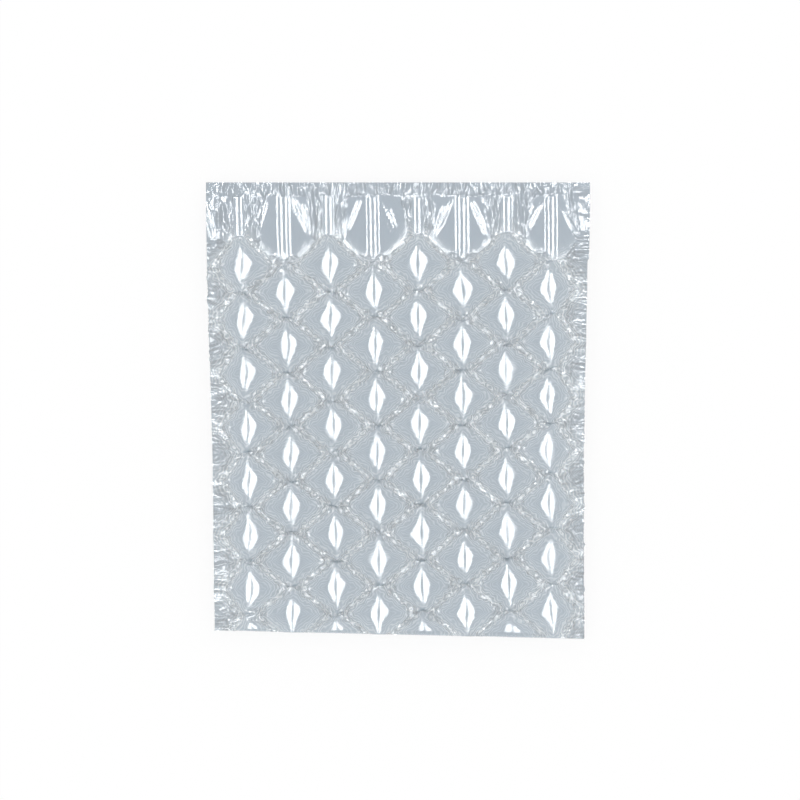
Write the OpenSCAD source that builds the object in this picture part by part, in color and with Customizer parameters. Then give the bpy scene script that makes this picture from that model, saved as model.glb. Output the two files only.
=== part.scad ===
// Inflated air cushion sheet.
// One centre-folded film, heat welded into side-by-side chains of air cells. Each chain is a row of
// pillow-shaped cells joined by open necks, and neighbouring chains are staggered by half a cell, so
// the welds between them run in a zigzag. Each chain was blown up through an inlet in the flat header.
// The sheet lies on its cells. +X is across the chains and +Y is towards the slit edge of the header.
// Film thickness is shown larger than life; the air is part of the closed solid.

/* [Sheet] */
// Length from the slit edge to the folded edge, at the middle of the sheet
sheet_l = 384; // [330:1:440]
// How much longer the sheet is along its right edge than along its left edge
slant = 7.2; // [0:0.2:16]
// Flat film outside the outermost side weld, where the sheet is narrowest
margin_w = 6.5; // [5:0.5:20]
// Flat film outside the outermost side weld, at the slit edge
header_margin_w = 5.2; // [4.6:0.2:20]
// How much wider the unfilled header is than the filled cells, as a share
draw_in = 0.045; // [0:0.005:0.08]
// Distance from the slit edge over which the sheet draws in to its filled width
draw_l = 250; // [120:5:320]
// Thickness of one layer of film as modelled
film_t = 0.3; // [0.2:0.05:0.6]

/* [Cells] */
// Number of chains across the sheet
chains = 8; // [3:1:10]
// Distance between the centre lines of neighbouring chains
chain_pitch = 36.6; // [32:0.2:44]
// Distance from one cell to the next along a chain
cell_pitch = 45.6; // [38:0.2:56]
// Rise of a cell above the weld plane, on each face
cell_h = 13; // [8:0.5:15]
// Reach of the outermost cells beyond their own centre line, towards the margin
side_reach = 20; // [16:0.5:26]
// Width of the open neck between two cells of a chain
neck_w = 13.4; // [10.4:0.2:18]
// Rise of a neck above the weld plane, on each face
neck_h = 4.5; // [2:0.25:5]
// Width of the welds between the chains
weld_w = 3; // [1.5:0.25:5]
// Turn of the whole weld pattern against the sheet's cut edges, in degrees
weld_turn = 0.9; // [0:0.1:1]
// Length over which the cells round off towards the folded edge
fold_l = 12; // [8:0.5:18]

/* [Header] */
// Length of the header, from the slit edge to the first neck
header_l = 46.4; // [34:0.2:70]
// Length of the two loose flaps between the slit edge and the closing weld
flap_l = 10; // [5:0.5:18]
// Opening between the two flaps at the slit edge
slit_gap = 1.6; // [0.4:0.1:4]
// Width of the inlet that fed each chain
inlet_w = 8.6; // [5:0.2:14]
// Rise of an inlet above the weld plane, on each face
inlet_h = 2; // [0.5:0.25:4]
// Sag of the header's slit edge below the weld plane of the cells
header_sag = 4; // [0:0.25:7]

/* [Gathers] */
// Height of the pleats that run through the header beside each inlet
pleat_h = 1.6; // [0:0.1:4]
// Height of the ripples along the loose flaps
flap_ripple_h = 0.8; // [0:0.1:2]
// Height of the crinkles along the left and right margins
crinkle_h = 1.5; // [0:0.1:4]

/* [Hidden] */

// Mesh rows in half a cell and in the header, and how the width of a chain is shared out
rows_per_half_cell = 3;
header_rows = 3;
width_shares = [0, 0.42, 0.76, 1];
EDGE = len(width_shares) - 1;
OUTLINE = EDGE + 1;

neck_half = neck_w / 2;
inlet_half = inlet_w / 2;
// Staggered chains nest, so a cell is as wide as its neighbours' necks and the weld leave it
cell_half = chain_pitch - weld_w - neck_half;
header_half = (chain_pitch - weld_w) / 2;
half_pitch = cell_pitch / 2;
last_chain = chains - 1;
side_weld_x = last_chain / 2 * chain_pitch + side_reach + weld_w;
filled_w = 2 * (side_weld_x + margin_w);
overall_l = sheet_l + slant / 2;
weld_plane_z = cell_h + film_t;
turn_slope = tan(weld_turn);
// The fold cuts the chains on the left earlier than those on the right
fold_slope = turn_slope + slant / filled_w;
fold_from = sheet_l - cell_pitch;

// Distances from the slit edge at which the sheet is sampled
header_step = (header_l - flap_l) / header_rows;
row_step = half_pitch / rows_per_half_cell;
even_rows = floor((sheet_l - fold_l - header_l) / row_step - 0.25);
fold_shares = [0.55, 0.12, 0];
FLAP_END = 1;
rows = concat(
    [0],
    [for (i = [0 : header_rows - 1]) flap_l + i * header_step],
    [for (i = [0 : even_rows]) header_l + i * row_step],
    [for (share = fold_shares) sheet_l - fold_l * share]
);

// Lengthwise mesh lines, as [chain, place]: 0 is the centre line, EDGE the weld, minus is the left
lines = concat(
    [[0, -OUTLINE]],
    [for (chain = [0 : last_chain], place = [-EDGE : EDGE]) [chain, place]],
    [[last_chain, OUTLINE]]
);

function blend(a, b, t) = a + (b - a) * t;
function ease(t) = let (c = min(max(t, 0), 1)) c * c * (3 - 2 * c);
// 0 where the sheet is fully drawn in by its filled cells, 1 at the slit edge
function looseness(d) = 1 - ease(d / draw_l);
// Distance from the slit edge, along the chains, of a mesh row: the last rows run out to the fold
function distance(x, row) =
    rows[row] + fold_slope * x * ease((rows[row] - fold_from) / (sheet_l - fold_from));
function on_left(place) = place < 0;
function alternate(i) = i % 2 == 0 ? 1 : -1;

// Every other chain starts half a cell further from the header
function chain_start(chain) = header_l + (chain % 2) * half_pitch;
// 0 at the middle of a cell and 1 at a neck
function neckness(chain, d) =
    let (turns = (d - chain_start(chain)) / cell_pitch)
    abs(2 * (turns - floor(turns)) - 1);
// A zigzag weld, straight between its rounded corners
function zigzag(t) = blend(t, (1 - cos(180 * t)) / 2, 0.5);

// Half width of a chain at a distance from the slit edge, on the side that place is on
function chain_half(chain, place, d) =
    let (
        at_side = (chain == 0 && on_left(place)) || (chain == last_chain && !on_left(place)),
        widest = at_side ? side_reach : cell_half,
        welded = blend(widest, neck_half, zigzag(neckness(chain, max(d, header_l))))
    )
    d >= header_l ? welded : blend(header_half, welded, ease((d - flap_l) / (header_l - flap_l)));

// Distance of a mesh line from the centre line of its chain
function reach(chain, place, d) =
    let (
        k = abs(place),
        half = chain_half(chain, place, d)
    )
    d >= chain_start(chain)
    ? width_shares[k] * half
    : [0, inlet_half, (inlet_half + half) / 2, half][k];

function axis_x(chain) = (chain - last_chain / 2) * chain_pitch;
function line_x(line, d) =
    let (
        place = line[1],
        spread = 1 + draw_in * looseness(d)
    )
    abs(place) == OUTLINE
    ? sign(place) * (side_weld_x * spread + blend(margin_w, header_margin_w, looseness(d)))
    : (axis_x(line[0]) + sign(place) * reach(line[0], place, d)) * spread
        + turn_slope * (d - sheet_l / 2);

// A film arch between two welds: a circular arc of the given half width and rise
function arch(x, half, rise) =
    let (radius = (half * half + rise * rise) / (2 * rise))
    sqrt(max(radius * radius - x * x, 0)) - (radius - rise);

// The cells and necks close over a round end at the folded edge
function closing(row) =
    let (t = max(rows[row] - (sheet_l - fold_l), 0) / fold_l)
    sqrt(max(1 - t * t, 0));

// Rise of the film above the weld plane, the same on both faces
function rise(line, row, d) =
    let (
        chain = line[0],
        place = line[1],
        k = abs(place),
        half = chain_half(chain, place, d),
        ridge = blend(cell_h, neck_h, pow(neckness(chain, d), 2))
    )
    k >= EDGE ? 0
    : d >= chain_start(chain) ? closing(row) * arch(width_shares[k] * half, half, ridge)
    : k == 0 && row > FLAP_END ? inlet_h
    : 0;

// Height of the layer between the two faces: sag of the header, pleats, ripples and crinkles
function middle_z(index, row, d) =
    let (
        line = lines[index],
        place = line[1],
        header_t = max(1 - d / header_l, 0),
        in_pleat = abs(place) == EDGE - 1 && row > FLAP_END && d < chain_start(line[0]),
        pleat = in_pleat ? pleat_h * sign(place) * alternate(line[0]) : 0,
        ripple = row == 0 ? flap_ripple_h * alternate(index) : 0,
        crinkle = abs(place) == OUTLINE && row > FLAP_END ? crinkle_h * alternate(row) : 0
    )
    weld_plane_z - header_sag * header_t * header_t + pleat + ripple + crinkle;

// A point of the sheet on one face: side is 1 in front, -1 behind and 0 between the two layers
function sheet_point(index, row, side) =
    let (
        d = distance(line_x(lines[index], rows[row]), row),
        x = line_x(lines[index], d),
        y = overall_l / 2 - d + turn_slope * x * ease(d / header_l),
        open = row == 0 ? slit_gap / 2 : 0
    )
    [x, y, middle_z(index, row, d) + side * (film_t + rise(lines[index], row, d) + open)];

// A point of the slit edge on the inner face of one flap
function lip_point(index, side) =
    sheet_point(index, 0, 0) + [0, 0, side * slit_gap / 2];

// Closed loop of points down the front face, up the back face and round the slit between the flaps
LAST_ROW = len(rows) - 1;
BACK = LAST_ROW + 1;
BACK_LIP = BACK + LAST_ROW + 1;
GROOVE = BACK_LIP + 1;
FRONT_LIP = GROOVE + 1;
LOOP = FRONT_LIP + 1;
function loop_points(index) = concat(
    [for (row = [0 : LAST_ROW]) sheet_point(index, row, 1)],
    [for (row = [LAST_ROW : -1 : 0]) sheet_point(index, row, -1)],
    [lip_point(index, -1), sheet_point(index, FLAP_END, 0), lip_point(index, 1)]
);
function front(row) = row;
function back(row) = BACK + LAST_ROW - row;

// Two triangles of a quad, cut along one diagonal or the other
function halves(a, b, c, d, swap) = swap ? [[a, b, d], [b, c, d]] : [[a, b, c], [a, c, d]];

// Skin between neighbouring loops
function skin_faces() = [
    for (index = [0 : len(lines) - 2], p = [0 : LOOP - 1])
        let (
            q = (p + 1) % LOOP,
            here = index * LOOP,
            next = here + LOOP
        )
        each halves(here + p, next + p, next + q, here + q, (index + p) % 2 == 0)
];

// Left or right end: the cut edge of the film, with the slit open between the two flaps
function end_faces(start) = concat(
    [for (row = [FLAP_END + 1 : LAST_ROW - 1])
        each halves(start + front(row), start + front(row + 1), start + back(row + 1), start + back(row))],
    halves(start + front(0), start + front(FLAP_END), start + GROOVE, start + FRONT_LIP),
    halves(start + back(0), start + BACK_LIP, start + GROOVE, start + back(FLAP_END)),
    [
        [start + GROOVE, start + front(FLAP_END), start + front(FLAP_END + 1)],
        [start + GROOVE, start + front(FLAP_END + 1), start + back(FLAP_END + 1)],
        [start + GROOVE, start + back(FLAP_END + 1), start + back(FLAP_END)]
    ]
);
function reversed(faces) = [for (face = faces) [face[2], face[1], face[0]]];

module cushion_sheet() {
    color([0.72, 0.79, 0.83, 0.6])
        polyhedron(
            points = [for (index = [0 : len(lines) - 1]) each loop_points(index)],
            faces = concat(
                skin_faces(),
                end_faces(0),
                reversed(end_faces((len(lines) - 1) * LOOP))
            ),
            convexity = 10
        );
}

cushion_sheet();
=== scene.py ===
import math

import bpy
import numpy as np
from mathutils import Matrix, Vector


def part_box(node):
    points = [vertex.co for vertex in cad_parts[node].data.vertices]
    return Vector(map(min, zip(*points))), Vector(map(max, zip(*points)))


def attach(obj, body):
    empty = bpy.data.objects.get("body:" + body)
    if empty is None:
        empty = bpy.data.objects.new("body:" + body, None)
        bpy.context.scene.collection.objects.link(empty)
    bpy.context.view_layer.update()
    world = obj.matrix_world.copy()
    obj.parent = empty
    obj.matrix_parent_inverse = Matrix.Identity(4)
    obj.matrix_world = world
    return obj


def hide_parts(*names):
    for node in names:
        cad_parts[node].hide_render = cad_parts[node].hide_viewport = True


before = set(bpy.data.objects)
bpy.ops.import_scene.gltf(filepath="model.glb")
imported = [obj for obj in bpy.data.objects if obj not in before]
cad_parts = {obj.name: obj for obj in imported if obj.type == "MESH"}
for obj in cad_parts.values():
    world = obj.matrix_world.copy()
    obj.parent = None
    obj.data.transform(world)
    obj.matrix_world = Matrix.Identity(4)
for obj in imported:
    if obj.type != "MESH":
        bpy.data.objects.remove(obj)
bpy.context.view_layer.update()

MM = 0.001
NODE = "cushion_sheet"
node_low, node_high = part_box(NODE)

# Sizes of the sheet, in millimetres
SLANT = 7.2
SHEET_L = (node_high.y - node_low.y) / MM - SLANT / 2
FILM_T = 0.3
CELL_H = (node_high.z - node_low.z) / MM / 2 - FILM_T
MARGIN_W = 6.5
HEADER_MARGIN_W = 5.2
DRAW_IN = 0.045
DRAW_L = 250.0
CHAINS = 8
CHAIN_PITCH = 36.6
CELL_PITCH = 45.6
SIDE_REACH = 20.0
NECK_W = 13.4
NECK_H = 4.5
WELD_W = 3.0
WELD_TURN = math.tan(math.radians(0.9))
HEADER_L = 46.4
FLAP_L = 10.0
INLET_W = 8.6
INLET_H = 2.0
HEADER_SAG = 4.0

NECK_HALF = NECK_W / 2
CELL_HALF = CHAIN_PITCH - WELD_W - NECK_HALF
HALF_PITCH = CELL_PITCH / 2
LAST_CHAIN = CHAINS - 1
SIDE_WELD_X = LAST_CHAIN / 2 * CHAIN_PITCH + SIDE_REACH + WELD_W
FILLED_HALF = SIDE_WELD_X + MARGIN_W
FOLD_SLOPE = WELD_TURN + SLANT / (2 * FILLED_HALF)
FOLD_FROM = SHEET_L - CELL_PITCH
AXES = (np.arange(CHAINS) - LAST_CHAIN / 2) * CHAIN_PITCH
STARTS = HEADER_L + (np.arange(CHAINS) % 2) * HALF_PITCH

# Flat film is longer than the blown-up sheet by these shares: the air draws the sheet in
SLACK_X = 0.16
SLACK_Y = 0.19
FLAP_SLACK = 0.015
MARGIN_SLACK = 0.06
# Distances from the slit edge over which those shares set in, and distance beyond the outermost welds
# over which the margins' share takes over
ACROSS_FROM, ACROSS_OVER = 0.35 * HEADER_L, 0.9 * HEADER_L
ALONG_FROM, ALONG_OVER = 0.8 * HEADER_L, HALF_PITCH
FLAP_FROM, FLAP_OVER = 0.8 * FLAP_L, 4.0
MARGIN_OVER = 3.0

# The simulation: grid steps across and along with the number of time steps, then how the film behaves
COARSE = (2.5, 2.2, 220)
FINE = (1.25, 1.1, 150)
PRESSURE = 0.003
INLET_PRESSURE = 0.12
BENDING = 0.05
DIAGONAL_PULL = 0.5
DAMPING = 0.96
TOP_SPEED = 0.6
# How firmly the welds hold their places, and the shares of that with which points keep their height
ANCHOR = 0.02
WELD_LIFT, RIM_LIFT, HEADER_LIFT = 0.6, 0.25, 0.15
# Gaps between the layers: the least, and the most where they lie flat on each other. There the layers
# are also drawn together sideways, by this share of their offset at each step
PLY_GAP = 0.15
FLAT_GAP = 0.5
FLAT_DRIFT = 0.25
# The layers at the start: share of their rise, gap, and unevenness before each of the two runs
START_RISE = 0.6
START_GAP = 0.1
START_NOISE = 0.12
FINE_NOISE = 0.03
# Half the seal's width in rows of the grid, and how far above it the flaps end
SEAL_ROWS = 0.75
FLAP_CLEAR = 0.01
SEED = 7
FAR = 1e3
TINY = 1e-6

# Relief of the flat header, which ends over a short distance at the first cells
HEADER_OVER = 2.5
INLET_RISE = 0.7
RELIEF_OVER = 3.0
# Creases on each side of a first cell: fewest, and how many more beside the sheet's sides
FAN_CREASES = 3
FAN_MORE = 4
# Their feet and tops, measured from the cell's centre line: nearest, and how much further the furthest is.
# A foot also moves along the chain and a top across it, by up to its spread
FOOT_NEAR, FOOT_MORE, FOOT_SPREAD = 9, 9, 6
TOP_NEAR, TOP_MORE, TOP_SPREAD = 10, 24, 3
# How far below the seal the lowest top is, then the widths of the two ends and the slopes of the flanks
TOP_D = 9
WIDE_END, NARROW_END = (1.8, 3.6), (0.6, 2)
GENTLE_SLOPE, STEEP_SLOPE = (0.08, 0.16), (0.4, 0.8)
# Share of a crease that its gentle flank takes, and how fast it rises from its two ends
CREASE_SHARE = 0.75
CREASE_ENDS = 3
# A turned-up fold at the left end of the header: foot, top, width at each and slope
CORNER_FOLD = ((-155.0, 46.0), (-160.0, 20.0), (15.0, 1.0), 0.11)
# Ripples of the loose flaps: size across and along, the share that stays flat, and height
RIPPLE_SIZE = (12, 8)
RIPPLE_CUT = 0.4
RIPPLE_H = 0.8

# Crinkles of the margins: how flat the film is laid, size, height at the weld, how much higher at the edge
MARGIN_FLAT = 0.85
CRINKLE_SIZE = (11, 5.5)
CRINKLE_H, CRINKLE_MORE = 0.25, 0.4

# Gathers: over what distance they set in below the header, how far they reach from a weld and from its
# corners, and their sizes and heights. Those named BOTH move the two layers together
BODY_OVER = 6.0
BLOWN_OVER = 8.0
WELD_REACH = 2.6
BESIDE_REACH = 5.0
CORNER_REACH = 7.5
PLEAT_SIZE = (3.8, 9)
CLUSTER_SIZE = 4.2
BOTH_PLEAT_H, BOTH_CLUSTER_H = 0.3, 0.6
PLEAT_H, CLUSTER_H = 0.35, 0.35
FINE_H, FINE_SHARE = 0.08, 0.45
DENT_H, DENT_SIZE = 0.5, (17, 20)

# Crumpled zones of the material: waves of the seal as (height, length), how far each zone reaches and
# over what distance it sets in, and its strength
SEAL_WAVES = ((0.5, 3.1), (0.6, 7.7))
CRUMPLE_OVER = 1.2
CRUMPLE_WELD = 2.4
CRUMPLE_CORNER, CORNER_SHARE = 8, 0.9
MARGIN_FROM, MARGIN_RAMP, MARGIN_SHARE = 0.2, 0.3, 1.5
MARGIN_START, MARGIN_START_OVER = HEADER_L - 10, 14
# Zones of the fans: reach beside a first cell, how much more at the sheet's sides, how much less at the
# seal, waves of their edges as (length down, length across), and how far from the first cells they end
FAN_REACH, FAN_REACH_MORE, FAN_TAPER = 11, 16, 0.35
FAN_WAVES = ((2.7, 5), (6.1, -9))
FAN_GAP, FAN_EDGE = 1.0, 1.5
INLET_CLEAR = 0.5
# How much longer than wide the crinkles of the margins, header and flaps are, and where that starts
STREAK = 2.5
STREAK_FROM = SIDE_WELD_X - 3


def ease(t):
    c = np.clip(t, 0, 1)
    return c * c * (3 - 2 * c)


def blend(a, b, t):
    return a + (b - a) * t


def neckness(chain, d):
    """0 at the middle of a cell and 1 at a neck."""
    turns = (d - STARTS[chain]) / CELL_PITCH
    return np.abs(2 * (turns - np.floor(turns)) - 1)


def zigzag(t):
    return blend(t, (1 - np.cos(np.pi * t)) / 2, 0.5)


def is_side(chain, side):
    return (chain, side) in ((0, -1), (LAST_CHAIN, 1))


def chain_half(chain, side, d):
    """Half width of a chain at a distance from the slit edge, on its left (-1) or right (1)."""
    widest = SIDE_REACH if is_side(chain, side) else CELL_HALF
    return blend(widest, NECK_HALF, zigzag(neckness(chain, np.maximum(d, HEADER_L))))


def in_chain(chain, x, d):
    """Distance of points from a chain's centre line, and the chain's half width on their side."""
    off = x - AXES[chain]
    return off, np.where(off < 0, chain_half(chain, -1, d), chain_half(chain, 1, d))


def spread(d):
    """Width of the blown-up sheet at a distance from the slit edge, against its filled width."""
    loose = 1 - ease(d / DRAW_L)
    outline = SIDE_WELD_X * (1 + DRAW_IN * loose) + blend(MARGIN_W, HEADER_MARGIN_W, loose)
    return outline / FILLED_HALF


def distance(x, d):
    """Distance from the slit edge along the chains: the last rows run out to the slanted fold."""
    return d + FOLD_SLOPE * x * ease((d - FOLD_FROM) / (SHEET_L - FOLD_FROM))


def outside(x, d):
    """0 between the outermost welds of the sheet and 1 in the flat film beside them."""
    left = AXES[0] - chain_half(0, -1, d)
    right = AXES[-1] + chain_half(LAST_CHAIN, 1, d)
    return ease((np.maximum(left - x, x - right) - WELD_W) / MARGIN_OVER)


def slack(x, d):
    """Flat length of the film against its length in the sheet, across and along the chains."""
    filled = ease((d - ACROSS_FROM) / ACROSS_OVER)
    loose = FLAP_SLACK * (1 - ease((d - FLAP_FROM) / FLAP_OVER))
    across = blend(spread(d) * (1 + loose), 1 + SLACK_X, filled)
    beyond = outside(x, d)
    across = blend(across, spread(d) * (1 + MARGIN_SLACK / 2), beyond)
    along = 1 + blend(SLACK_Y, MARGIN_SLACK, beyond) * ease((d - ALONG_FROM) / ALONG_OVER)
    return across, along


class Film:
    """Grid of points on the flat film, the same for both layers, with what each point belongs to."""

    def __init__(self, step_x, step_y, rng):
        self.cols = int(round(2 * FILLED_HALF / step_x)) + 1
        self.rows = int(round(SHEET_L / step_y)) + 1
        self.step = 2 * FILLED_HALF / (self.cols - 1)
        self.rng = rng
        self.even_d = np.linspace(0, SHEET_L, self.rows)
        self.x = np.tile(np.linspace(-FILLED_HALF, FILLED_HALF, self.cols), (self.rows, 1))
        for chain in range(CHAINS):
            for side in (-1, 1):
                self.snap(chain, side, 0)
                if is_side(chain, side):
                    self.snap(chain, side, WELD_W)
        self.d = distance(self.x, self.even_d[:, None])
        self.sort_points(step_y)
        self.measure()

    def snap(self, chain, side, extra):
        """Moves the nearest point of each row onto a weld's edge."""
        edge = AXES[chain] + side * chain_half(chain, side, self.even_d)
        for _ in range(3):
            edge = AXES[chain] + side * (chain_half(chain, side, distance(edge, self.even_d)) + extra)
        col = np.rint((edge + FILLED_HALF) / self.step).astype(int)
        rows = np.nonzero((self.even_d >= HEADER_L) & (col > 0) & (col < self.cols - 1))[0]
        self.x[rows, col[rows]] = edge[rows]

    def sort_points(self, step_y):
        """Marks the points of the cells, inlets, welds, loose header and the film that lies together."""
        x, d = self.x, self.d
        self.air = np.zeros(x.shape, bool)
        self.inlet = np.zeros(x.shape, bool)
        head = d < HEADER_L
        for chain in range(CHAINS):
            off, half = in_chain(chain, x, d)
            within = np.abs(off) < half - TINY
            self.air |= within & (d >= STARTS[chain])
            self.inlet |= (np.abs(off) < INLET_W / 2) & (d < STARTS[chain]) & (d > FLAP_L)
            self.inlet &= ~self.air
            head |= within & (d < STARTS[chain])
        beyond = np.abs(x) > SIDE_WELD_X
        seal = np.abs(d - FLAP_L) <= SEAL_ROWS * step_y
        flap = d < FLAP_L - FLAP_CLEAR
        head &= (d > FLAP_L) & ~self.air & ~beyond
        margin = beyond & (d >= FLAP_L)
        self.weld = ~(self.air | head | flap | margin) | seal
        self.loose = head | flap
        self.together = (head & ~self.inlet) | margin

    def measure(self):
        """Places in the blown-up sheet, and the flat lengths between neighbouring points."""
        x, d = self.x, self.d
        inner = np.clip((FILLED_HALF - np.abs(x)) / MARGIN_W, 0, 1)
        self.place = np.stack([
            x * spread(d) + WELD_TURN * (d - SHEET_L / 2) * inner,
            (SHEET_L + SLANT / 2) / 2 - d + WELD_TURN * x * ease(d / HEADER_L),
        ], -1)
        self.across = self.span(np.s_[:, :-1], np.s_[:, 1:])
        self.along = self.span(np.s_[:-1], np.s_[1:])
        self.falling = self.span(np.s_[:-1, :-1], np.s_[1:, 1:])
        self.rising = self.span(np.s_[:-1, 1:], np.s_[1:, :-1])
        self.two_across = self.across[:, 1:] + self.across[:, :-1]
        self.two_along = self.span(np.s_[:-2], np.s_[2:])

    def span(self, a, b):
        """Flat lengths between two sets of the grid's points."""
        ax, bx, ad, bd = self.x[a], self.x[b], self.d[a], self.d[b]
        across, along = slack((ax + bx) / 2, (ad + bd) / 2)
        return np.hypot((bx - ax) * across, (bd - ad) * along)

    def start(self):
        """Both layers of film just parted by shallow domes."""
        rise = np.where(self.inlet, INLET_H, 0.0)
        for chain in range(CHAINS):
            off, half = in_chain(chain, self.x, self.d)
            ridge = blend(CELL_H, NECK_H, neckness(chain, self.d) ** 2)
            inside = (np.abs(off) < half) & (self.d >= STARTS[chain])
            rise = np.where(inside, ridge * np.clip(1 - (off / half) ** 2, 0, 1), rise)
        points = np.zeros((2,) + self.x.shape + (3,))
        points[..., :2] = self.place
        points[0, ..., 2] = START_RISE * rise + START_GAP
        points[1, ..., 2] = -START_RISE * rise - START_GAP
        points[..., 2] += self.rng.normal(0, START_NOISE, points.shape[:-1])
        return points

    def refine(self, coarse, points):
        """Carries a coarse sheet over to this finer grid."""
        moved = points.copy()
        moved[..., :2] -= coarse.place
        u = np.linspace(0, coarse.rows - 1, self.rows)
        v = np.linspace(0, coarse.cols - 1, self.cols)
        i = np.minimum(u.astype(int), coarse.rows - 2)
        j = np.minimum(v.astype(int), coarse.cols - 2)
        fu = (u - i)[None, :, None, None]
        fv = (v - j)[None, None, :, None]
        upper = blend(moved[:, i][:, :, j], moved[:, i][:, :, j + 1], fv)
        lower = blend(moved[:, i + 1][:, :, j], moved[:, i + 1][:, :, j + 1], fv)
        fine = blend(upper, lower, fu)
        fine[..., :2] += self.place
        fine[..., 2] += self.rng.normal(0, FINE_NOISE, fine.shape[:-1])
        return fine


def pull(a, b, flat, stiffness):
    """Moves two sets of neighbouring points towards their flat distance."""
    gap = b - a
    length = np.sqrt(np.einsum("...i,...i->...", gap, gap)) + 1e-9
    gap *= ((length - flat) / length * (0.5 * stiffness))[..., None]
    a += gap
    b -= gap


def unfold(points, a, b, flat):
    """Pushes points two steps apart away from each other, as bending stiffness does."""
    gap = points[b] - points[a]
    length = np.sqrt(np.einsum("...i,...i->...", gap, gap)) + 1e-9
    gap *= (np.minimum((length - flat) / length, 0) * (0.5 * BENDING))[..., None]
    points[a] += gap
    points[b] -= gap


def normals(points):
    """Outward normals of both layers."""
    across = np.zeros_like(points)
    along = np.zeros_like(points)
    across[:, :, 1:-1] = points[:, :, 2:] - points[:, :, :-2]
    along[:, 1:-1] = points[:, :-2] - points[:, 2:]
    across[:, :, 0], across[:, :, -1] = across[:, :, 1], across[:, :, -2]
    along[:, 0], along[:, -1] = along[:, 1], along[:, -2]
    out = np.cross(across, along)
    out /= np.sqrt(np.einsum("...i,...i->...", out, out))[..., None] + 1e-9
    out[1] *= -1
    return out


def sag(film):
    """Height at which the header hangs, below the weld plane."""
    return -HEADER_SAG * np.clip(1 - film.d / HEADER_L, 0, 1) ** 2


def inflate(film, points, steps):
    """Blows up both layers: pressure in the cells, film that keeps its flat lengths, welds that hold."""
    press = (film.air + INLET_PRESSURE * film.inlet) * PRESSURE * film.step / FINE[0]
    hold = np.where(film.weld, ANCHOR, 0.0)
    lift = np.where(film.weld, WELD_LIFT * ANCHOR, 0.0)
    for rim in (np.s_[:, 0], np.s_[:, -1], np.s_[-1, :], np.s_[0, :]):
        hold[rim] = ANCHOR
        lift[rim] = RIM_LIFT * ANCHOR
    lift = np.where(film.loose, HEADER_LIFT * ANCHOR, lift)
    rest_z = sag(film)
    speed = np.zeros_like(points)
    for step in range(steps):
        if step % 2 == 0:
            force = normals(points) * press[None, ..., None]
        speed = speed * DAMPING + force
        before = points.copy()
        points += speed
        for first in (0, 1):
            end = first + (film.cols - 1 - first) // 2 * 2
            pull(points[:, :, first:end:2], points[:, :, first + 1:end + 1:2],
                 film.across[:, first:end:2], 1.0)
        for first in (0, 1):
            end = first + (film.rows - 1 - first) // 2 * 2
            upper, lower = points[:, first:end:2], points[:, first + 1:end + 1:2]
            pull(upper, lower, film.along[first:end:2], 1.0)
            pull(upper[:, :, :-1], lower[:, :, 1:], film.falling[first:end:2], DIAGONAL_PULL)
            pull(upper[:, :, 1:], lower[:, :, :-1], film.rising[first:end:2], DIAGONAL_PULL)
        unfold(points, np.s_[:, :, :-2], np.s_[:, :, 2:], film.two_across)
        unfold(points, np.s_[:, :-2], np.s_[:, 2:], film.two_along)
        middle = points.mean(0)
        points[..., :2] += (film.place - middle[..., :2]) * hold[..., None]
        points[..., 2] += (rest_z - middle[..., 2]) * lift
        join(film, points)
        speed = points - before
        pace = np.sqrt(np.einsum("...i,...i->...", speed, speed))[..., None]
        speed *= np.minimum(1, TOP_SPEED / (pace + 1e-9))
    return points


def join(film, points):
    """Brings the layers together at the welds and the fold, and keeps the least gap between them."""
    middle = points.mean(0)
    for layer, side in ((0, 0.5), (1, -0.5)):
        points[layer][film.weld] = middle[film.weld]
        points[layer][film.weld, 2] += side * PLY_GAP
    points[:, -1] = middle[-1]
    gap = points[0, ..., 2] - points[1, ..., 2]
    wanted = np.where(film.together, np.clip(gap, PLY_GAP, FLAT_GAP), np.maximum(gap, PLY_GAP))
    points[0, ..., 2] += (wanted - gap) / 2
    points[1, ..., 2] -= (wanted - gap) / 2
    drift = np.where(film.together, FLAT_DRIFT, 0.0)[..., None]
    drift = drift * (points[0, ..., :2] - points[1, ..., :2])
    points[0, ..., :2] -= drift
    points[1, ..., :2] += drift


# Gathers that are too fine for the simulation
def noise(rng, u, v):
    """Smooth random field from -1 to 1, with one random value per unit of u and v."""
    i, j = np.floor(u).astype(int), np.floor(v).astype(int)
    fu, fv = ease(u - i), ease(v - j)
    i, j = i - i.min(), j - j.min()
    table = rng.uniform(-1, 1, (i.max() + 2, j.max() + 2))
    near = blend(table[i, j], table[i + 1, j], fu)
    far = blend(table[i, j + 1], table[i + 1, j + 1], fu)
    return blend(near, far, fv)


def creased(rng, u, v):
    """Random field with sharp crests, from -1 to 1."""
    return 1 - 2 * np.abs(noise(rng, u, v)) ** 0.8


def crests(rng, u, v, cut):
    """Only the crests of such a field, from 0 to 1, with flat film between them."""
    return np.maximum(creased(rng, u, v) - cut, 0) / (1 - cut)


def weld_frame(film):
    """Distance of each point from the nearest weld of the cells, and how far along that weld it is."""
    nearest = np.full(film.x.shape, FAR)
    along = np.zeros(film.x.shape)
    for chain in range(CHAINS):
        for side in (-1, 1):
            line = AXES[chain] + side * (chain_half(chain, side, film.d) + WELD_W / 2)
            ahead, behind = (chain_half(chain, side, film.d + step) for step in (0.5, -0.5))
            lean = side * (ahead - behind)
            off = (film.x - line) / np.hypot(1, lean)
            closer = np.abs(off) < nearest
            nearest = np.where(closer, np.abs(off), nearest)
            along = np.where(closer, film.d * np.hypot(1, lean) + off * lean, along)
    return nearest + np.maximum(header_end(film) - film.d, 0), along


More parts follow.
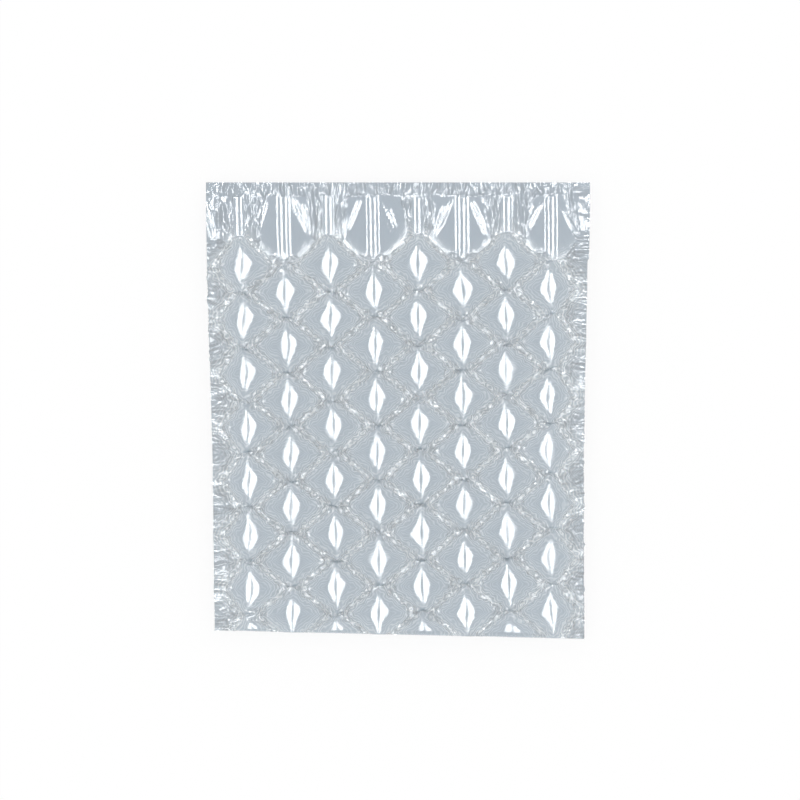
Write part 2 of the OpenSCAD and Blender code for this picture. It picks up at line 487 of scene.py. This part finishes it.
def corner_distance(film):
    """Distance of each point from the nearest corner of a zigzag weld, where a cell is widest."""
    nearest = np.full(film.x.shape, FAR)
    for chain in range(CHAINS):
        for side in (-1, 1):
            widest = SIDE_REACH if is_side(chain, side) else CELL_HALF
            across = film.x - AXES[chain] - side * (widest + WELD_W / 2)
            along = neckness(chain, film.d) * HALF_PITCH
            here = np.where(film.d > STARTS[chain], np.hypot(across, along), FAR)
            nearest = np.minimum(nearest, here)
    return nearest


def header_end(film):
    """Distance from the slit edge at which the flat header meets the first cells."""
    end = np.full(film.x.shape, HEADER_L + HALF_PITCH)
    for chain in range(0, CHAINS, 2):
        out = np.abs(film.x - AXES[chain]) - NECK_HALF
        share = np.clip(out / (CELL_HALF - NECK_HALF), 0, 1)
        end = np.minimum(end, HEADER_L + HALF_PITCH * share)
    return end


def fold_line(film, foot, top, widths, slope):
    """A crease from its foot at the cells to its top: a gentle flank and a steep one."""
    run = (foot[1] - film.d) / (foot[1] - top[1])
    middle = blend(foot[0], top[0], run)
    width = np.maximum(blend(widths[0], widths[1], run), 0.1)
    q = (film.x - middle) / width + 0.5
    gentle = CREASE_SHARE if slope > 0 else 1 - CREASE_SHARE
    roof = np.minimum(q / gentle, (1 - q) / (1 - gentle))
    ends = ease(run * CREASE_ENDS) * ease((1 - run) * CREASE_ENDS)
    return np.maximum(roof, 0) * ends * width * CREASE_SHARE * abs(slope)


def fan_crease(film, axis, side, rng):
    """One crease from beside a first cell, on its left (-1) or right (1), up towards the seal."""
    out = rng.uniform(0, 1)
    foot = axis + side * (FOOT_NEAR + FOOT_MORE * out)
    top = axis + side * (TOP_NEAR + TOP_MORE * out + rng.uniform(-TOP_SPREAD, TOP_SPREAD))
    widths = rng.permutation((rng.uniform(*WIDE_END), rng.uniform(*NARROW_END)))
    way = rng.choice((-1, 1))
    slope = way * rng.choice((rng.uniform(*GENTLE_SLOPE), rng.uniform(*STEEP_SLOPE)))
    foot_d = HEADER_L + rng.uniform(-FOOT_SPREAD, FOOT_SPREAD)
    top_d = FLAP_L + rng.uniform(0, TOP_D)
    return fold_line(film, (foot, foot_d), (top, top_d), widths, slope)


def header_relief(film, rng):
    """Inlets, creases that fan up from the first cells, and the crumpled flaps above the seal."""
    relief = np.zeros(film.x.shape)
    below_seal = ease((film.d - FLAP_L) / RELIEF_OVER)
    for chain in range(CHAINS):
        off = film.x - AXES[chain]
        relief += np.maximum(1 - (off / (INLET_W / 2)) ** 4, 0) * INLET_RISE * below_seal
    for axis in AXES[0] + 2 * CHAIN_PITCH * np.arange(CHAINS // 2 + 1):
        for side in (-1, 1):
            for _ in range(FAN_CREASES + int(FAN_MORE * abs(axis) / SIDE_WELD_X)):
                relief += fan_crease(film, axis, side, rng)
    relief += fold_line(film, *CORNER_FOLD)
    ripple = crests(rng, film.x / RIPPLE_SIZE[0], film.d / RIPPLE_SIZE[1], RIPPLE_CUT)
    return relief + RIPPLE_H * ripple * (1 - below_seal)


def lay_header(film, points, rng):
    """Lays the header flat and gives both of its layers the same relief."""
    flat = ease((header_end(film) - film.d) / HEADER_OVER)
    relief = header_relief(film, rng)
    for layer, side in ((0, 0.5), (1, -0.5)):
        points[layer, ..., :2] = blend(points[layer, ..., :2], film.place, flat[..., None])
        level = sag(film) + relief + side * PLY_GAP
        points[layer, ..., 2] = blend(points[layer, ..., 2], level, flat)


def lay_margins(film, points, rng):
    """Lays the film beside the outermost welds flat, with crinkles that run in from its cut edge."""
    flat = MARGIN_FLAT * outside(film.x, film.d) * ease((film.d - HEADER_L) / BODY_OVER)
    edge = np.clip((np.abs(film.x) - SIDE_WELD_X) / MARGIN_W, 0, 1)
    crinkle = CRINKLE_H + CRINKLE_MORE * edge
    crinkle = crinkle * crests(rng, film.x / CRINKLE_SIZE[0], film.d / CRINKLE_SIZE[1], 0)
    for layer, side in ((0, 0.5), (1, -0.5)):
        points[layer, ..., 2] = blend(points[layer, ..., 2], crinkle + side * PLY_GAP, flat)


def trim_fold(film, points):
    """Keeps the last cells behind the folded edge."""
    points[..., 1] = np.maximum(points[..., 1], film.place[-1, :, 1])


def gather(film, points, rng):
    """Crinkles along the welds, thickest at their corners, and a slight unevenness everywhere."""
    near, along = weld_frame(film)
    corner = corner_distance(film)
    body = ease((film.d - HEADER_L) / BODY_OVER)
    blown = ease((film.d - header_end(film)) / BLOWN_OVER) * (1 - outside(film.x, film.d))
    at_weld = np.exp(-(near / WELD_REACH) ** 2) * body
    beside = np.exp(-(near / BESIDE_REACH) ** 2) * body
    pleats = creased(rng, along / PLEAT_SIZE[0], film.x / PLEAT_SIZE[1])
    cluster = np.exp(-(corner / CORNER_REACH) ** 2) * body
    u, v = film.x / CLUSTER_SIZE, film.d / CLUSTER_SIZE
    both = BOTH_PLEAT_H * at_weld * pleats + BOTH_CLUSTER_H * cluster * creased(rng, u, v)
    points[..., 2] += both
    out = normals(points)
    for layer in (0, 1):
        height = PLEAT_H * beside * pleats
        height = height + CLUSTER_H * cluster * creased(rng, 0.9 * u, 0.9 * v)
        height += FINE_H * noise(rng, FINE_SHARE * u, FINE_SHARE * v) * body
        height += DENT_H * noise(rng, film.x / DENT_SIZE[0], film.d / DENT_SIZE[1]) * blown
        points[layer] += out[layer] * (height * (1 - at_weld))[..., None]


# Meshes
def shorter_diagonals(points, flip):
    """Triangles of a grid of points, each square cut along its shorter diagonal."""
    rows, cols = points.shape[:2]
    i, j = np.meshgrid(np.arange(rows - 1), np.arange(cols - 1), indexing="ij")
    a = (i * cols + j).ravel()
    b, c, d = a + 1, a + cols + 1, a + cols
    flat = points.reshape(-1, 3)
    falling = ((flat[a] - flat[c]) ** 2).sum(1) <= ((flat[b] - flat[d]) ** 2).sum(1)
    cut_ac = np.stack([a, d, c, a, c, b], 1)
    cut_bd = np.stack([a, d, b, b, d, c], 1)
    faces = np.where(falling[:, None], cut_ac, cut_bd).reshape(-1, 3)
    return faces[:, ::-1] if flip else faces


def fan_zone(film):
    """Where streaks run up the header: beside each first cell, most widely near the sheet's sides."""
    first = AXES[0] + 2 * CHAIN_PITCH * np.round((film.x - AXES[0]) / (2 * CHAIN_PITCH))
    off = np.abs(film.x - first)
    wave = sum(np.sin(film.d / down + film.x / across) for down, across in FAN_WAVES)
    widest = FAN_REACH + FAN_REACH_MORE * np.abs(film.x) / SIDE_WELD_X
    reach = widest * (1 - FAN_TAPER * film.d / HEADER_L)
    zone = ease(off - INLET_W / 2 - INLET_CLEAR) * (1 - ease((off - reach - wave) / FAN_EDGE))
    return zone * ease((header_end(film) - film.d - FAN_GAP) / FAN_EDGE)


def crumpling(film):
    """How crumpled the film is: 0 on smooth domes, and about 1 at welds, margins, flaps and fans."""
    near, corner = weld_frame(film)[0], corner_distance(film)
    below = film.d - FLAP_L
    for height, length in SEAL_WAVES:
        below = below - height * np.sin(film.x / length)
    flap = 1 - ease(below / CRUMPLE_OVER)
    along = 1 - ease((near - CRUMPLE_WELD) / CRUMPLE_OVER)
    cluster = 1 - ease((corner - CRUMPLE_CORNER) / CRUMPLE_OVER)
    beside = ease((outside(film.x, film.d) - MARGIN_FROM) / MARGIN_RAMP)
    beside = beside * ease((film.d - MARGIN_START) / MARGIN_START_OVER)
    zones = (flap, along, CORNER_SHARE * cluster, MARGIN_SHARE * beside, fan_zone(film))
    return np.max(zones, axis=0)


def streaked_place(film):
    """Places on the flat film, drawn out where its crinkles are streaks: margins, header and flaps."""
    beyond = np.maximum(np.abs(film.x) - STREAK_FROM, 0) * (1 - 1 / STREAK)
    down = np.minimum(film.d, HEADER_L) * (1 - 1 / STREAK)
    return np.stack([film.x - np.sign(film.x) * beyond, film.d - down, 0 * film.x], -1)


def point_values(mesh, name, kind, values):
    attribute = mesh.attributes.new(name, kind, "POINT")
    field = "value" if kind == "FLOAT" else "vector"
    attribute.data.foreach_set(field, values.ravel().astype(np.float32))


def layer_object(name, film, points, flip):
    faces = shorter_diagonals(points, flip)
    mesh = bpy.data.meshes.new(name)
    mesh.from_pydata((points.reshape(-1, 3) * MM).tolist(), [], faces.tolist())
    mesh.shade_smooth()
    point_values(mesh, "weld_distance", "FLOAT", weld_frame(film)[0])
    point_values(mesh, "crumpling", "FLOAT", crumpling(film))
    point_values(mesh, "flat_place", "FLOAT_VECTOR", streaked_place(film))
    piece = bpy.data.objects.new(name, mesh)
    bpy.context.scene.collection.objects.link(piece)
    return piece


# Materials
ROUGHNESS = 0.035
IOR = 1.5
ALPHA = 0.5
# Film tones: painted shade makes the middle of each dome darker and painted light makes the film paler
# toward the welds, standing in for how light falls on the curved domes
DOME_TONE_AND_PAINTED_SHADE = (0.30, 0.39, 0.47, 1)
RIM_TONE_AND_PAINTED_LIGHT = (0.48, 0.56, 0.61, 1)
# Painted highlight: pale colour of the fine lines beside the welds, standing in for glints on their
# creases
LINE_PAINTED_HIGHLIGHT_COLOR = (0.86, 0.93, 0.97, 1)
# Reach of the painted light that makes the film paler toward the welds, then the fine lines beside them,
# painted
# pale as highlights: reach, pitch, height, how thin they are and how they wander, in millimetres
RIM_REACH = 8.0
LINES_REACH = 8.0
LINE_PITCH = 2.6
LINE_H = 0.06
LINE_THIN = 4
WANDER_SCALE = 0.16
WANDER = 9
# Crinkles of crumpled film, as (size in millimetres, slope), and how much they curl
CRINKLES = ((5.5, 0.6), (2.8, 0.35))
CURL = 0.4


def nodes_of(material):
    material.use_nodes = True
    return material.node_tree.nodes, material.node_tree.links


def mix_color(nodes, links, share, a, b):
    """Output of a new Mix node between two colours; each is a value or another node's output."""
    node = nodes.new("ShaderNodeMix")
    node.data_type = "RGBA"
    links.new(share, node.inputs["Factor"])
    for socket, colour in (("A", a), ("B", b)):
        if isinstance(colour, tuple):
            node.inputs[socket].default_value = colour
        else:
            links.new(colour, node.inputs[socket])
    return node.outputs["Result"]


def attribute_node(nodes, name):
    node = nodes.new("ShaderNodeAttribute")
    node.attribute_name = name
    return node


def math_node(nodes, links, operation, *values):
    """Output of a new Math node; each value is a number or another node's output."""
    node = nodes.new("ShaderNodeMath")
    node.operation = operation
    for socket, value in zip(node.inputs, values):
        if isinstance(value, (int, float)):
            socket.default_value = value
        else:
            links.new(value, socket)
    return node.outputs[0]


def fading(nodes, links, away, reach):
    """1 at no distance away, falling off exponentially over a reach."""
    share = math_node(nodes, links, "MULTIPLY", away, -1 / reach)
    return math_node(nodes, links, "EXPONENT", share)


def film_material():
    """Clear polyethylene film: glossy, slightly hazy, crinkled where the welds gather it, with painted
    shade and light in its domes and painted highlights on the fine lines beside the welds.
    """
    material = bpy.data.materials.new("clear_film")
    nodes, links = nodes_of(material)
    shader = nodes["Principled BSDF"]
    shader.inputs["Roughness"].default_value = ROUGHNESS
    shader.inputs["IOR"].default_value = IOR
    shader.inputs["Alpha"].default_value = ALPHA
    place = attribute_node(nodes, "flat_place").outputs["Vector"]
    near = attribute_node(nodes, "weld_distance").outputs["Fac"]
    crumpled = attribute_node(nodes, "crumpling").outputs["Fac"]

    wobble = nodes.new("ShaderNodeTexNoise")
    wobble.inputs["Scale"].default_value = WANDER_SCALE
    wobble.inputs["Detail"].default_value = 1
    links.new(place, wobble.inputs["Vector"])
    turns = math_node(nodes, links, "MULTIPLY_ADD", wobble.outputs["Fac"], WANDER, near)
    turns = math_node(nodes, links, "MULTIPLY", turns, math.pi / LINE_PITCH)
    waves = math_node(nodes, links, "ABSOLUTE", math_node(nodes, links, "SINE", turns))
    thin = math_node(nodes, links, "POWER", waves, LINE_THIN)
    lines = math_node(nodes, links, "MULTIPLY", thin, fading(nodes, links, near, LINES_REACH))

    height = math_node(nodes, links, "MULTIPLY", lines, LINE_H)
    for size, slope in CRINKLES:
        crinkle = nodes.new("ShaderNodeTexNoise")
        crinkle.inputs["Scale"].default_value = 1 / size
        crinkle.inputs["Detail"].default_value = 0
        crinkle.inputs["Distortion"].default_value = CURL
        links.new(place, crinkle.inputs["Vector"])
        most = size * slope
        rise = math_node(nodes, links, "MULTIPLY_ADD", crinkle.outputs["Fac"], 2 * most, -most)
        height = math_node(nodes, links, "MULTIPLY_ADD", rise, crumpled, height)
    bump = nodes.new("ShaderNodeBump")
    bump.inputs["Strength"].default_value = 1
    bump.inputs["Distance"].default_value = MM
    links.new(height, bump.inputs["Height"])
    # Painted shade and light: darker film in the dome middles, paler toward the welds
    rim = fading(nodes, links, near, RIM_REACH)
    tone_and_painted_shade = mix_color(nodes, links, rim, DOME_TONE_AND_PAINTED_SHADE, RIM_TONE_AND_PAINTED_LIGHT)
    # Painted highlight: the fine lines beside the welds are painted pale; their bump above is real relief
    with_painted_line_highlights = mix_color(nodes, links, lines, tone_and_painted_shade, LINE_PAINTED_HIGHLIGHT_COLOR)
    links.new(with_painted_line_highlights, shader.inputs["Base Color"])
    links.new(bump.outputs["Normal"], shader.inputs["Normal"])
    return material


def matt_white():
    """White floor that keeps a light shadow: most of what camera, gloss and film see is plain white."""
    material = bpy.data.materials.new("floor_white")
    nodes, links = nodes_of(material)
    shader = nodes["Principled BSDF"]
    shader.inputs["Base Color"].default_value = (1, 1, 1, 1)
    shader.inputs["Roughness"].default_value = 1
    shader.inputs["Specular IOR Level"].default_value = 0
    path = nodes.new("ShaderNodeLightPath")
    seen = path.outputs["Is Camera Ray"]
    for ray in ("Is Glossy Ray", "Is Transmission Ray"):
        seen = math_node(nodes, links, "MAXIMUM", seen, path.outputs[ray])
    plain = nodes.new("ShaderNodeEmission")
    mixed = nodes.new("ShaderNodeMixShader")
    links.new(math_node(nodes, links, "MULTIPLY", seen, FLOOR_PLAIN), mixed.inputs["Fac"])
    links.new(shader.outputs["BSDF"], mixed.inputs[1])
    links.new(plain.outputs["Emission"], mixed.inputs[2])
    links.new(mixed.outputs["Shader"], nodes["Material Output"].inputs["Surface"])
    return material


def softbox_material(strength):
    material = bpy.data.materials.new("softbox")
    nodes, links = nodes_of(material)
    nodes.clear()
    emission = nodes.new("ShaderNodeEmission")
    emission.inputs["Strength"].default_value = strength
    output = nodes.new("ShaderNodeOutputMaterial")
    links.new(emission.outputs[0], output.inputs["Surface"])
    return material


# Stage, in metres. The floor, and the share of it that is plain white
FLOOR_HALF = 3.0
FLOOR_Z = -0.5 * MM
FLOOR_PLAIN = 0.85
# Two softboxes: height, half the gap between them, reach outwards at mid-length, how strongly they widen
# from there, where the left one ends along Y (the right one is turned half round), and strength
LIGHT_H = 20.0
LIGHT_GAP = 1.2
LIGHT_REACH = 6.6
LIGHT_WAIST = 0.27
LIGHT_LOW, LIGHT_HIGH = -13.2, 18.0
LIGHT_CORNERS = 41
LIGHT_STRENGTH = 32
# The camera looks straight down on a view of this width and middle
CAMERA_H = 6.4
VIEW_W = 0.679
VIEW_CENTRE = (0.0017, 0.0090)
SENSOR_W = 36


def flat_shape(name, points, material):
    mesh = bpy.data.meshes.new(name)
    mesh.from_pydata(points, [], [tuple(range(len(points)))])
    mesh.materials.append(material)
    shape = bpy.data.objects.new(name, mesh)
    bpy.context.scene.collection.objects.link(shape)
    return shape


def softbox(name, side, material):
    """Half an oval high above the sheet, on the left (-1) or right (1), which only its gloss shows."""
    middle = side * -(LIGHT_LOW + LIGHT_HIGH) / 2
    reach = (LIGHT_HIGH - LIGHT_LOW) / 2
    points = []
    for turn in np.linspace(-math.pi / 2, math.pi / 2, LIGHT_CORNERS):
        bulge = math.sqrt(abs(math.cos(turn))) / (1 - LIGHT_WAIST * abs(math.sin(turn))) ** 2
        out = LIGHT_GAP + (LIGHT_REACH - LIGHT_GAP) * bulge
        points.append((side * out, middle + reach * math.sin(turn), LIGHT_H))
    light = flat_shape(name, points, material)
    light.visible_camera = False
    light.visible_diffuse = False
    light.visible_transmission = False
    light.visible_shadow = False


def stage():
    f = FLOOR_HALF
    corners = [(-f, -f, 0), (f, -f, 0), (f, f, 0), (-f, f, 0)]
    flat_shape("floor", corners, matt_white()).location.z = FLOOR_Z
    white = softbox_material(LIGHT_STRENGTH)
    softbox("softbox_left", -1, white)
    softbox("softbox_right", 1, white)
    world = bpy.data.worlds.new("studio")
    world.use_nodes = True
    world.node_tree.nodes["Background"].inputs["Color"].default_value = (1, 1, 1, 1)
    bpy.context.scene.world = world
    lens = bpy.data.cameras.new("camera")
    lens.sensor_width = SENSOR_W
    lens.lens = SENSOR_W * (CAMERA_H - (node_high.z - node_low.z) / 2) / VIEW_W
    camera = bpy.data.objects.new("camera", lens)
    camera.location = (*VIEW_CENTRE, CAMERA_H)
    bpy.context.scene.collection.objects.link(camera)
    bpy.context.scene.camera = camera
    bpy.context.scene.view_settings.view_transform = "Standard"


# The sheet
def blown_up_sheet():
    """The film's grid and its points, blown up coarsely and then finely."""
    rng = np.random.default_rng(SEED)
    coarse = Film(COARSE[0], COARSE[1], rng)
    points = inflate(coarse, coarse.start(), COARSE[2])
    fine = Film(FINE[0], FINE[1], rng)
    return fine, inflate(fine, fine.refine(coarse, points), FINE[2])


def cushion():
    film, points = blown_up_sheet()
    lay_header(film, points, np.random.default_rng(SEED + 1))
    lay_margins(film, points, np.random.default_rng(SEED + 2))
    gather(film, points, np.random.default_rng(SEED + 3))
    join(film, points)
    trim_fold(film, points)
    points[..., 2] -= points[..., 2].min()
    material = film_material()
    for name, layer in (("front_film", 0), ("back_film", 1)):
        piece = layer_object(name, film, points[layer], layer == 1)
        piece.data.materials.append(material)
        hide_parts(NODE)
        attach(piece, "root")


stage()
cushion()
bpy.context.view_layer.update()
